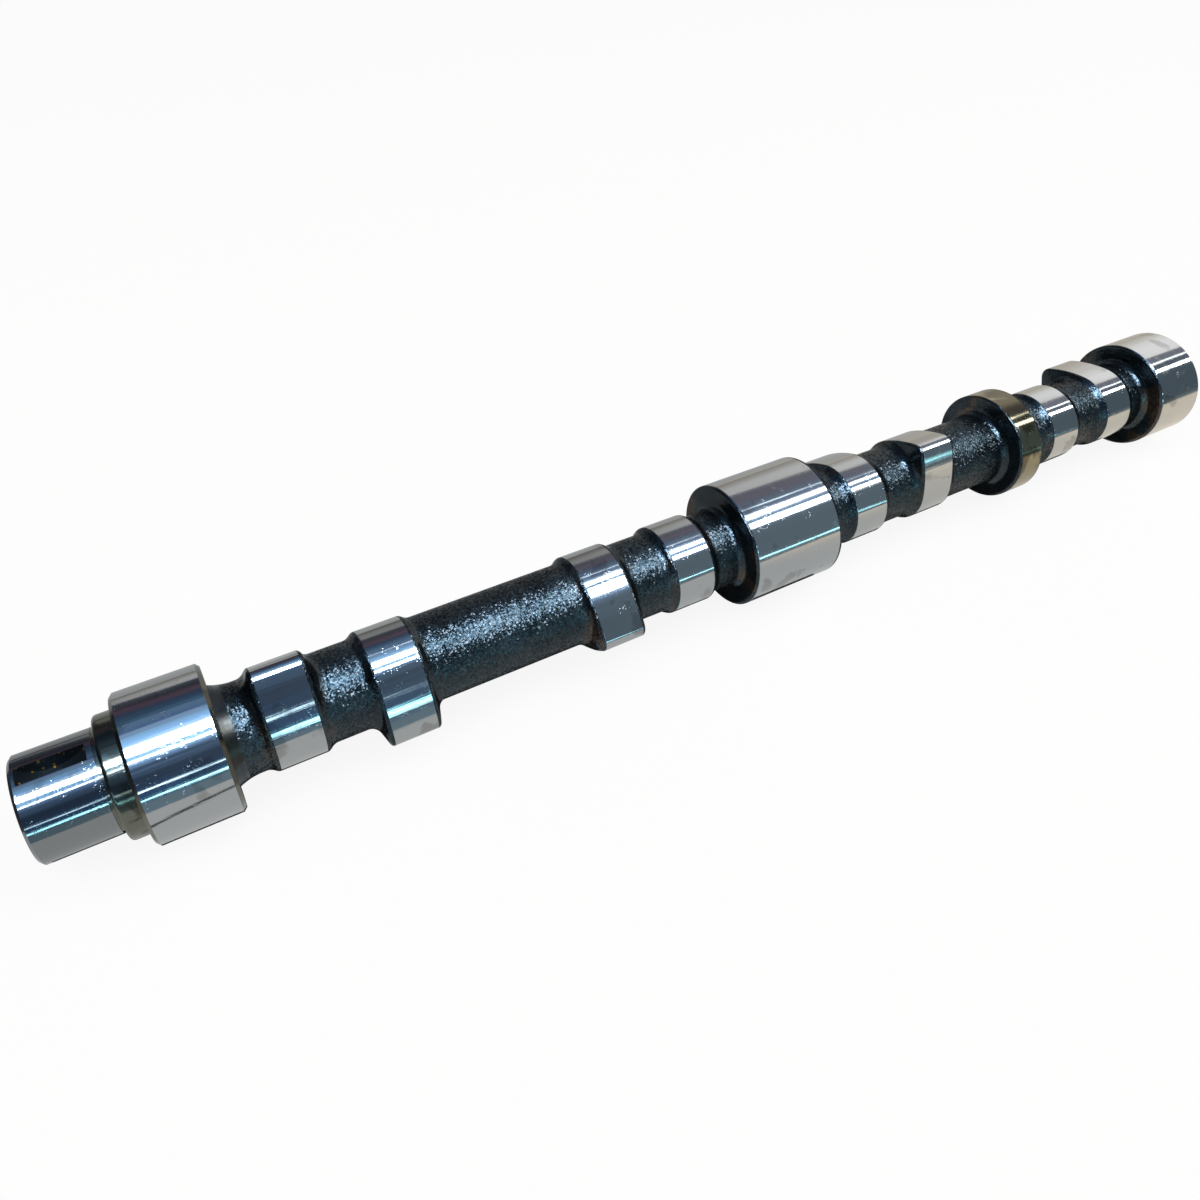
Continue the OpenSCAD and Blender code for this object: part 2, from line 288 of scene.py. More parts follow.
def makeCamRule():
    tree, known = openTree("camRule", {"Float": ["Angle"]}, {"Float": ["Radius"]})
    addRule(tree, known, [
        ("turn", "WRAP", "Angle", math.pi, -math.pi),
        ("away", "ABSOLUTE", "turn"),
        ("cos", "COSINE", "away"),
        ("sin", "SINE", "away"),
        ("noseAlong", "MULTIPLY", "cos", noseX),
        ("noseBeside", "MULTIPLY", "sin", noseX),
        ("noseBesideSquare", "MULTIPLY", "noseBeside", "noseBeside"),
        ("noseLeft", "SUBTRACT", lobe["nose"] ** 2, "noseBesideSquare"),
        ("noseKept", "MAXIMUM", "noseLeft", 0.0),
        ("noseReach", "SQRT", "noseKept"),
        ("noseRadius", "ADD", "noseAlong", "noseReach"),
        ("flankAlongX", "MULTIPLY", "cos", flankX),
        ("flankAlong", "MULTIPLY_ADD", "sin", flankY, "flankAlongX"),
        ("flankBesideX", "MULTIPLY", "sin", flankX),
        ("flankBeside", "MULTIPLY_ADD", "cos", -flankY, "flankBesideX"),
        ("flankBesideSquare", "MULTIPLY", "flankBeside", "flankBeside"),
        ("flankLeft", "SUBTRACT", lobe["flank"] ** 2, "flankBesideSquare"),
        ("flankReach", "SQRT", "flankLeft"),
        ("flankRadius", "ADD", "flankAlong", "flankReach"),
        ("onFlank", "LESS_THAN", "away", flankEnd),
        ("flankRise", "SUBTRACT", "flankRadius", lobe["base"]),
        ("withFlank", "MULTIPLY_ADD", "flankRise", "onFlank", lobe["base"]),
        ("onNose", "LESS_THAN", "away", noseEnd),
        ("noseRise", "SUBTRACT", "noseRadius", "withFlank"),
        ("radius", "MULTIPLY_ADD", "noseRise", "onNose", "withFlank"),
    ])
    addNode(tree, "NodeGroupOutput", {"Radius": known["radius"]})
    return tree


def makeWallRule(camRule):
    # Side of a lobe or journal: rounded cast corner, drafted wall, fillet down to the shaft
    tree, known = openTree("wallRule", {"Float": ["Angle", "Progress", "Shaft", *wallInputs]},
                           {"Float": ["Height", "Offset"]})
    addRule(tree, known, [("turn", "SUBTRACT", "Angle", "Phase")])
    known["camRadius"] = addNode(tree, "GeometryNodeGroup", {"Angle": known["turn"]}, node_tree=camRule)
    addRule(tree, known, [
        ("cos", "COSINE", "turn"),
        ("sin", "SINE", "turn"),
        ("beside", "MULTIPLY", "sin", "Throw"),
        ("besideSquare", "MULTIPLY", "beside", "beside"),
        ("radiusSquare", "MULTIPLY", "Radius", "Radius"),
        ("left", "SUBTRACT", "radiusSquare", "besideSquare"),
        ("reach", "SQRT", "left"),
        ("roundRadius", "MULTIPLY_ADD", "cos", "Throw", "reach"),
        ("camExtra", "SUBTRACT", "camRadius", "roundRadius"),
        ("rim", "MULTIPLY_ADD", "camExtra", "Cam", "roundRadius"),
        ("full", "SUBTRACT", "rim", "Shaft"),
        ("square", "MULTIPLY", "Progress", "Progress"),
        ("ease", "MULTIPLY_ADD", "Progress", -2.0, 3.0),
        ("share", "MULTIPLY", "square", "ease"),
        ("depth", "MULTIPLY", "full", "share"),
        ("height", "SUBTRACT", "full", "depth"),
        ("cornerShare", "DIVIDE", "depth", "Corner"),
        ("cornerBack", "SUBTRACT", 1.0, "cornerShare"),
        ("cornerBackSquare", "MULTIPLY", "cornerBack", "cornerBack"),
        ("cornerLeft", "SUBTRACT", 1.0, "cornerBackSquare"),
        ("cornerReach", "SQRT", "cornerLeft"),
        ("cornerOut", "MULTIPLY", "cornerReach", "Corner"),
        ("draftOut", "MULTIPLY_ADD", "depth", "Draft", "cornerOut"),
        ("filletSquare", "MULTIPLY", "Fillet", "Fillet"),
        ("topKept", "MINIMUM", "full", "Fillet"),
        ("topBack", "SUBTRACT", "Fillet", "topKept"),
        ("topBackSquare", "MULTIPLY", "topBack", "topBack"),
        ("topLeft", "SUBTRACT", "filletSquare", "topBackSquare"),
        ("topRun", "SQRT", "topLeft"),
        ("hereKept", "MINIMUM", "height", "Fillet"),
        ("hereBack", "SUBTRACT", "Fillet", "hereKept"),
        ("hereBackSquare", "MULTIPLY", "hereBack", "hereBack"),
        ("hereLeft", "SUBTRACT", "filletSquare", "hereBackSquare"),
        ("hereRun", "SQRT", "hereLeft"),
        ("filletOut", "SUBTRACT", "topRun", "hereRun"),
        ("offset", "ADD", "draftOut", "filletOut"),
    ])
    addNode(tree, "NodeGroupOutput", {"Height": known["height"], "Offset": known["offset"]})
    return tree


def layNet(tree, known):
    # A flat net of rows along the shaft and columns round it, and each point's row and angle
    net = addNode(tree, "GeometryNodeMeshGrid", {
        "Size X": 1.0, "Size Y": 1.0, "Vertices X": known["Rows"], "Vertices Y": known["Columns"]})
    parts = addNode(tree, "ShaderNodeSeparateXYZ", {0: addNode(tree, "GeometryNodeInputPosition")})
    known.update(netX=parts.outputs[0], netY=parts.outputs[1])
    addRule(tree, known, [
        ("along", "ADD", "netX", 0.5),
        ("lastRow", "SUBTRACT", "Rows", 1.0),
        ("row", "MULTIPLY", "along", "lastRow"),
        ("rowBack", "SUBTRACT", "lastRow", "row"),
        ("leftStep", "SUBTRACT", "row", capRows),
        ("rightStep", "SUBTRACT", "rowBack", capRows),
        ("stepsGone", "SUBTRACT", "lastRow", 2 * capRows),
        ("round", "ADD", "netY", 0.5),
        ("angle", "MULTIPLY", "round", 2 * math.pi),
    ])
    return net


def rollUp(tree, known, net, along, radius, tuck):
    # Rolls the net round the axis, and closes its ends with the rows that are left for it
    addRule(tree, known, [
        ("inLeftCap", "LESS_THAN", "row", capRows - 0.5),
        ("inRightCap", "LESS_THAN", "rowBack", capRows - 0.5),
        ("capSide", "SUBTRACT", "inRightCap", "inLeftCap"),
        ("x", "MULTIPLY_ADD", "capSide", tuck, along),
        ("inCap", "ADD", "inLeftCap", "inRightCap"),
        ("capDrop", "MULTIPLY", "inCap", tuck),
        ("cappedR", "SUBTRACT", radius, "capDrop"),
        ("atLeftPole", "LESS_THAN", "row", 0.5),
        ("atRightPole", "LESS_THAN", "rowBack", 0.5),
        ("atPole", "ADD", "atLeftPole", "atRightPole"),
        ("offPole", "SUBTRACT", 1.0, "atPole"),
        ("r", "MULTIPLY", "cappedR", "offPole"),
        ("sin", "SINE", "angle"),
        ("cos", "COSINE", "angle"),
        ("toViewer", "MULTIPLY", "r", "sin"),
        ("y", "MULTIPLY", "toViewer", -1.0),
        ("z", "MULTIPLY", "r", "cos"),
    ])
    spot = addNode(tree, "ShaderNodeCombineXYZ", {0: known["x"], 1: known["y"], 2: known["z"]})
    inMetres = addNode(tree, "ShaderNodeVectorMath", {0: spot, "Scale": mm}, operation="SCALE")
    rolled = addNode(tree, "GeometryNodeSetPosition", {"Geometry": net, "Position": inMetres})
    return addNode(tree, "GeometryNodeMergeByDistance", {"Geometry": rolled, "Distance": doublesWithin})


def closeTree(tree, known, geometry):
    single = addNode(tree, "GeometryNodeRealizeInstances", {"Geometry": geometry})
    finished = addNode(tree, "GeometryNodeSetMaterial", {"Geometry": single, "Material": known["Finish"]})
    addNode(tree, "NodeGroupOutput", {"Geometry": finished})
    return tree


shaft = {
    "radius": 15.83,
    "corner": 0.9,
    "draft": 17.0,
    "lobeFillet": 3.0,
    "faceFillet": 3.0,
    "neckRadius": 19.0,
    "neckTop": 17.5,
    "neckTurned": 3.7,
    "faceDraft": 0.01,
    "noCorner": 0.001,
    "tuck": 0.3,
    "wallRows": 26,
    "around": 256,
    "rowStep": 0.5,
    "skinWave": 0.06,
    "fadePerRow": 0.14,
    "fadeLate": 0.2,
}


def makeCastSection(wallRule):
    # Cast skin between two machined lands: a wall at each end, and the bare shaft between them
    sided = [side + " " + name for side in ("Left", "Right") for name in wallInputs]
    sizes = ["Wall Rows", "Shaft", "Tuck", "Left Edge", "Right Edge", "Skin Depth", *sided]
    tree, known = openTree("castSection", {**netInputs, "Float": sizes}, netOutput)
    net = layNet(tree, known)
    for side in ("left", "right"):
        addRule(tree, known, [
            (side + "Share", "DIVIDE", side + "Step", "Wall Rows"),
            (side + "Fade", "MULTIPLY_ADD", side + "Step", shaft["fadePerRow"], -shaft["fadeLate"]),
        ])
        wall = addNode(tree, "GeometryNodeGroup", {
            "Angle": known["angle"], "Progress": known[side + "Share"], "Shaft": known["Shaft"],
            **{name: known[side.title() + " " + name] for name in wallInputs}}, node_tree=wallRule)
        known[side + "Height"], known[side + "Offset"] = wall.outputs["Height"], wall.outputs["Offset"]
    addRule(tree, known, [
        ("shaftStep", "SUBTRACT", "leftStep", "Wall Rows"),
        ("shaftRows", "MULTIPLY_ADD", "Wall Rows", -2.0, "stepsGone"),
        ("shaftShare", "DIVIDE", "shaftStep", "shaftRows"),
        ("leftX", "ADD", "Left Edge", "leftOffset"),
        ("rightX", "SUBTRACT", "Right Edge", "rightOffset"),
        ("spanX", "SUBTRACT", "rightX", "leftX"),
        ("surfaceX", "MULTIPLY_ADD", "spanX", "shaftShare", "leftX"),
        ("height", "ADD", "leftHeight", "rightHeight"),
        ("surfaceR", "ADD", "height", "Shaft"),
        ("fadeShare", "MINIMUM", "leftFade", "rightFade"),
    ])
    kept = addNode(tree, "GeometryNodeStoreNamedAttribute", {
        "Geometry": net, "Name": "skinFade", "Value": known["fadeShare"]}, data_type="FLOAT", domain="POINT")
    closed = rollUp(tree, known, kept, "surfaceX", "surfaceR", "Tuck")
    # casting waves of two millimetres and less, really in the mesh, that fade out towards the lands
    waves = addNode(tree, "ShaderNodeTexNoise", {
        "Vector": addNode(tree, "GeometryNodeInputPosition"), "Scale": scaleFor(1.786), "Detail": 2.0})
    known.update(waves=waves, fadeHere=addNode(
        tree, "GeometryNodeInputNamedAttribute", {"Name": "skinFade"}, data_type="FLOAT"))
    addRule(tree, known, [
        ("centred", "SUBTRACT", "waves", 0.5),
        ("faded", "MULTIPLY", "centred", "fadeHere"),
        ("deep", "MULTIPLY", "faded", "Skin Depth"),
    ])
    push = addNode(tree, "ShaderNodeVectorMath", {
        0: addNode(tree, "GeometryNodeInputNormal"), "Scale": known["deep"]}, operation="SCALE")
    skinned = addNode(tree, "GeometryNodeSetPosition", {"Geometry": closed, "Offset": push})
    return closeTree(tree, known, skinned)


def makeLobeLands(camRule):
    # One ground land by the cam rule, set at each point of the input mesh and turned by its phase
    tree, known = openTree("lobeLands", {**netInputs, "Float": ["Width", "Edge Break"]}, netOutput)
    net = layNet(tree, known)
    known["rim"] = addNode(tree, "GeometryNodeGroup", {"Angle": known["angle"]}, node_tree=camRule)
    addRule(tree, known, [
        ("landShare", "DIVIDE", "leftStep", "stepsGone"),
        ("landSide", "SUBTRACT", "landShare", 0.5),
        ("flatWidth", "MULTIPLY_ADD", "Edge Break", -2.0, "Width"),
        ("landX", "MULTIPLY", "landSide", "flatWidth"),
    ])
    closed = rollUp(tree, known, net, "landX", "rim", "Edge Break")
    phase = addNode(tree, "GeometryNodeInputNamedAttribute", {"Name": "phase"}, data_type="FLOAT")
    turned = addNode(tree, "ShaderNodeCombineXYZ", {0: phase})
    lands = addNode(tree, "GeometryNodeInstanceOnPoints", {
        "Points": known["Geometry"], "Instance": closed, "Rotation": turned})
    return closeTree(tree, known, lands)


def grow(name, tree, values, points=(((0, 0, 0), 0.0),)):
    # Runs a geometry tree once and keeps its result as a plain mesh
    seed = bpy.data.meshes.new(name + "Seed")
    places, turns = zip(*points)
    seed.from_pydata(places, [], [])
    seed.attributes.new("phase", "FLOAT", "POINT").data.foreach_set("value", turns)
    maker = bpy.data.objects.new(name + "Maker", seed)
    bpy.context.collection.objects.link(maker)
    modifier = maker.modifiers.new("grow", "NODES")
    modifier.node_group = tree
    for item in tree.interface.items_tree:
        if item.in_out == "INPUT" and item.name in values:
            modifier[item.identifier] = values[item.name]
    graph = bpy.context.evaluated_depsgraph_get()
    mesh = bpy.data.meshes.new_from_object(maker.evaluated_get(graph), depsgraph=graph)
    maker.modifiers.clear()
    bpy.data.objects.remove(maker)
    return settle(name, mesh)


def settle(name, mesh, crispFrom=sharpFrom):
    # Closes doubles, turns the faces outwards and marks the machined edges sharp
    shape = bmesh.new()
    shape.from_mesh(mesh)
    bmesh.ops.remove_doubles(shape, verts=shape.verts, dist=doublesWithin)
    bmesh.ops.recalc_face_normals(shape, faces=shape.faces)
    shape.to_mesh(mesh)
    shape.free()
    mesh.shade_smooth()
    mesh.set_sharp_from_angle(angle=math.radians(crispFrom))
    mesh.name = name
    piece = bpy.data.objects.new(name, mesh)
    bpy.context.collection.objects.link(piece)
    return piece


def onRing(x, radius, turn, centre=(0.0, 0.0)):
    return x * mm, (centre[0] - radius * math.sin(turn)) * mm, (centre[1] + radius * math.cos(turn)) * mm


def turnPiece(name, outline, finish, around=360, centre=(0.0, 0.0), rowStep=2.5):
    # Lathe work: the outline runs from axis to axis, and each point is (station, radius, finish up to there)
    rows, kinds = [outline[0][:2]], []
    for last, point in zip(outline, outline[1:]):
        (x0, r0), (x1, r1) = last[:2], point[:2]
        count = max(1, math.ceil(math.hypot(x1 - x0, r1 - r0) / rowStep))
        rows += [(x0 + (x1 - x0) * k / count, r0 + (r1 - r0) * k / count) for k in range(1, count + 1)]
        kinds += [point[2] if len(point) > 2 else finish] * count
    verts, faces, rings, used = [], [], [], sorted(set(kinds))
    for x, r in rows:
        if r == 0:
            rings.append([len(verts)] * around)
            verts.append(onRing(x, 0, 0, centre))
            continue
        rings.append(range(len(verts), len(verts) + around))
        verts += [onRing(x, r, 2 * math.pi * k / around, centre) for k in range(around)]
    slots = []
    for near, far, kind in zip(rings, rings[1:], kinds):
        for k in range(around):
            n = (k + 1) % around
            corners = tuple(dict.fromkeys((near[k], near[n], far[n], far[k])))
            if len(corners) > 2:
                faces.append(corners)
                slots.append(used.index(kind))
    mesh = bpy.data.meshes.new(name)
    mesh.from_pydata(verts, [], faces)
    for kind in used:
        mesh.materials.append(finishes[kind])
    mesh.polygons.foreach_set("material_index", slots)
    return settle(name, mesh)


def groundRing(station, radius, width, edge):
    # Outline of a ground ring with its edges broken
    left, right = station - width / 2, station + width / 2
    return [(left, 0), (left, radius - edge), (left + edge, radius), (right - edge, radius),
            (right, radius - edge), (right, 0)]


def cutAway(names, radius, depth, around, place, turn):
    # Round cutter that leaves the bore's finish on the walls it makes
    bpy.ops.mesh.primitive_cylinder_add(
        vertices=around, radius=radius * mm, depth=depth * mm, rotation=turn, location=place)
    cutter = bpy.context.object
    cutter.data.materials.append(finishes["bore"])
    for name in names:
        piece = pieces[name]
        modifier = piece.modifiers.new("cut", "BOOLEAN")
        modifier.operation, modifier.solver, modifier.object = "DIFFERENCE", "EXACT", cutter
        modifier.material_mode = "TRANSFER"
        graph = bpy.context.evaluated_depsgraph_get()
        mesh = bpy.data.meshes.new_from_object(piece.evaluated_get(graph), depsgraph=graph)
        piece.modifiers.clear()
        mesh.shade_smooth()
        mesh.set_sharp_from_angle(angle=math.radians(sharpFrom))
        piece.data = mesh
    bpy.data.objects.remove(cutter)


# Camshaft pieces

camRule = makeCamRule()
wallRule = makeWallRule(camRule)
castSection = makeCastSection(wallRule)
lobeLands = makeLobeLands(camRule)

pieces = {}
points = [((x * mm, 0, 0), math.radians(turn)) for x, turn in zip(lobe["stations"], lobe["phases"])]
pieces["lobeLands"] = grow("lobeLands", lobeLands, {
    "Rows": lobe["rows"], "Columns": lobe["around"] + 1, "Width": lobe["width"],
    "Edge Break": lobe["edgeBreak"], "Finish": finishes["ground"]}, points)

# each journal's station, radius and width
journal = {
    "front": (0.0, 25.36, 27.8),
    "middle": (232.1, 25.23, 40.4),
    "rear": (464.2, 24.98, 27.8),
    "chamfer": 1.2,
    "edgeBreak": 0.5,
}

eccentric = {"station": 361.7, "radius": 23.85, "throw": 1.2, "phase": 30, "width": 11.6, "edgeBreak": 0.2}

# a lobe's wall follows the cam rule, which takes the place of its round radius
camWall = {"Cam": 1.0, "Radius": 20.0, "Throw": 0.0, "Corner": shaft["corner"],
           "Draft": math.tan(math.radians(shaft["draft"])), "Fillet": shaft["lobeFillet"]}
faceWall = {"Cam": 0.0, "Phase": 0.0, "Throw": 0.0, "Corner": shaft["corner"], "Draft": shaft["faceDraft"],
            "Fillet": shaft["faceFillet"]}
neck, turned = shaft["neckRadius"], shaft["neckTurned"]
neckRise = shaft["neckTop"] - shaft["radius"]
neckRun = math.sqrt(neck ** 2 - (neck - neckRise) ** 2) - turned
neckLeft = neck - math.sqrt(neck ** 2 - neckRun ** 2)
neckEnd = journal["front"][2] / 2 + turned
pumpRing = (eccentric["station"], eccentric["radius"], eccentric["width"])
offCentre = {"Throw": eccentric["throw"], "Phase": math.radians(eccentric["phase"])}

# what the cast skin meets along the shaft: left end, right end, and the wall that leads up to it
features = [(neckEnd, neckEnd, {
    **faceWall, "Radius": shaft["radius"] + neckLeft, "Corner": shaft["noCorner"], "Draft": 0.0,
    "Fillet": neck})]
halfLand = lobe["width"] / 2
for x, turn in zip(lobe["stations"], lobe["phases"]):
    features.append((x - halfLand, x + halfLand, {**camWall, "Phase": math.radians(turn)}))
for ring, extra in ((journal["middle"], {}), (journal["rear"], {}), (pumpRing, offCentre)):
    station, radius, width = ring
    features.append((station - width / 2, station + width / 2, {**faceWall, "Radius": radius, **extra}))
features.sort(key=lambda feature: feature[0])
for number, (left, right) in enumerate(zip(features, features[1:]), 1):
    bareRows = round((right[0] - left[1]) / shaft["rowStep"])
    values = {"Rows": 1 + 2 * capRows + 2 * shaft["wallRows"] + bareRows, "Columns": shaft["around"] + 1,
              "Wall Rows": float(shaft["wallRows"]), "Shaft": shaft["radius"], "Tuck": shaft["tuck"],
              "Left Edge": left[1], "Right Edge": right[0], "Skin Depth": shaft["skinWave"] * mm,
              "Finish": finishes["cast"]}
    for side, wall in (("Left ", left[2]), ("Right ", right[2])):
        values.update({side + key: value for key, value in wall.items()})
    name = "castSkin%d" % number
    pieces[name] = grow(name, castSection, values)
print("cast skin and lobe lands grown")

pieces["middleJournal"] = turnPiece(
    "middleJournal", groundRing(*journal["middle"], journal["edgeBreak"]), "ground")

rearEnd = {
    "face": 478.1,
    "centreMouth": 7.0,
    "centreRadius": 2.5,
    "centreDepth": 7.8,
    "centreStraight": 6,
    "centreTip": 1.5,
    "drainRadius": 2.5,
    "drainOut": 17.4,
    "drainPhase": -8,
    "drainLength": 28.8,
    "drainPast": 2,
    "drainSides": 48,
}
station, radius, width = journal["rear"]
chamfer, centre, end = journal["chamfer"], rearEnd["centreRadius"], station + width / 2
deep = end - rearEnd["centreDepth"]
straight = deep - rearEnd["centreStraight"]
pieces["rearJournal"] = turnPiece("rearJournal", [
    *groundRing(*journal["rear"], journal["edgeBreak"])[:3],
    (end - chamfer, radius), (end, radius - chamfer, "collar"), (end, rearEnd["centreMouth"], "faced"),
    (deep, centre, "bore"), (straight, centre, "bore"), (straight - rearEnd["centreTip"], 0, "bore")],
    "ground")

gearEnd = {
    "front": -44.8,
    "seatRadius": 17.42,
    "seatChamfer": 1.0,
    "collarFront": -20.3,
    "collarRadius": 20.6,
    "collarRound": 1.4,
    "arcSteps": 8,
    "reliefWidth": 1.2,
    "reliefDepth": 0.5,
    "keyStation": -33.1,
    "keyWidth": 6.35,
    "keyCutter": 11.1,
    "keyDepth": 6.0,
    "keySides": 128,
    "boltRadius": 6.1,
    "boltMouth": 7.0,
    "boltMouthDepth": 3.29,
    "boltDepth": 34.0,
    "boltTip": 3,
    "boltPitch": 1.75,
    "threadDepth": 0.95,
    "threadRoot": 0.3,
    "threadFrom": 3.4,
    "threadShort": 6.0,
}

# Gear end in one turning: bolt hole, gear seat, thrust collar, front journal and the neck's turned foot
half, radius = journal["front"][2] / 2, journal["front"][1]
front, seat, collar = gearEnd["front"], gearEnd["seatRadius"], gearEnd["collarRound"]
bolt, depth, arcSteps = gearEnd["boltRadius"], gearEnd["boltDepth"], gearEnd["arcSteps"]
reliefFrom, relieved = gearEnd["collarFront"] - gearEnd["reliefWidth"], seat - gearEnd["reliefDepth"]
outline = [(front + depth + gearEnd["boltTip"], 0), (front + depth, bolt, "bore"),
           (front + gearEnd["boltMouthDepth"], bolt, "bore"), (front, gearEnd["boltMouth"], "collar"),
           (front, seat - gearEnd["seatChamfer"], "faced"), (front + gearEnd["seatChamfer"], seat, "seat"),
           (reliefFrom, seat, "seat"), (reliefFrom, relieved, "collar"),
           (gearEnd["collarFront"], relieved, "collar")]
for k in range(arcSteps + 1):
    a = math.radians(90 * k / arcSteps)
    outline.append((gearEnd["collarFront"] + collar * (1 - math.cos(a)),
                    gearEnd["collarRadius"] - collar * (1 - math.sin(a)), "collar"))
outline += [(-half, gearEnd["collarRadius"], "collar"), (-half, radius - chamfer, "collar"),
            (-half + chamfer, radius, "collar"), (half - chamfer, radius),
            (half, radius - chamfer, "collar")]
for k in range(arcSteps + 1):
    x = turned * k / arcSteps
    drop = neck - math.sqrt(neck ** 2 - (neckRun + turned - x) ** 2)
    outline.append((half + x, shaft["radius"] + drop, "neck"))
outline.append((half + turned, 0, "neck"))
pieces["gearEnd"] = turnPiece("gearEnd", outline, "ground", rowStep=1.0)


def makeBoltThread(around=96, steps=8, crispFrom=50):
    # The bolt hole's coarse thread: a ridge that winds along the wall and runs out before the hole's end
    first, last = front + gearEnd["threadFrom"], front + depth - gearEnd["threadShort"]
    count = round((last - first) / gearEnd["boltPitch"] * steps)
    turns = [2 * math.pi * j / around for j in range(around)]
    verts, faces = [], []
    for k in range(count + 1):
        x = first + (last - first) * k / count
        fade = min(1.0, k / steps, (count - k) / steps)
        for j, turn in enumerate(turns):
            ridge = abs(2 * ((k / steps - j / around) % 1.0) - 1)
            verts.append(onRing(x, bolt - gearEnd["threadDepth"] * fade * ridge, turn))
    for x in (last, first):
        verts += [onRing(x, bolt + gearEnd["threadRoot"], turn) for turn in turns]
    rows = count + 3
    for k in range(rows):
        here, there = k * around, (k + 1) % rows * around
        for j in range(around):
            n = (j + 1) % around
            faces.append((here + j, there + j, there + n, here + n))
    mesh = bpy.data.meshes.new("boltThread")
    mesh.from_pydata(verts, [], faces)
    mesh.materials.append(finishes["thread"])
    return settle("boltThread", mesh, crispFrom)


pieces["boltThread"] = makeBoltThread()

throw, lean = eccentric["throw"], math.radians(eccentric["phase"])
pieces["pumpEccentric"] = turnPiece(
    "pumpEccentric", groundRing(*pumpRing, eccentric["edgeBreak"]), "tinted",
    centre=(-throw * math.sin(lean), throw * math.cos(lean)))
print("machined pieces turned")

# keyseat cutter, and oil drain drill that starts past the rear face
cutterUp = seat - gearEnd["keyDepth"] + gearEnd["keyCutter"]
cutAway(["gearEnd"], gearEnd["keyCutter"], gearEnd["keyWidth"], gearEnd["keySides"],
        onRing(gearEnd["keyStation"], cutterUp, 0), (math.pi / 2, 0, 0))
drill = rearEnd["drainLength"] + rearEnd["drainPast"]
drillAt = rearEnd["face"] + rearEnd["drainPast"] - drill / 2
cutAway(["rearJournal", "castSkin11"], rearEnd["drainRadius"], drill, rearEnd["drainSides"],
        onRing(drillAt, rearEnd["drainOut"], math.radians(rearEnd["drainPhase"])), (0, math.pi / 2, 0))
print("keyseat and drain hole cut")

for name, piece in pieces.items():
    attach(piece, "root")
    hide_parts("camshaft")
    print(name, len(piece.data.polygons), "faces")

# Studio

rest = cadBox[0][2]
strips = {"radius": 1500, "apart": 8, "columns": 12}

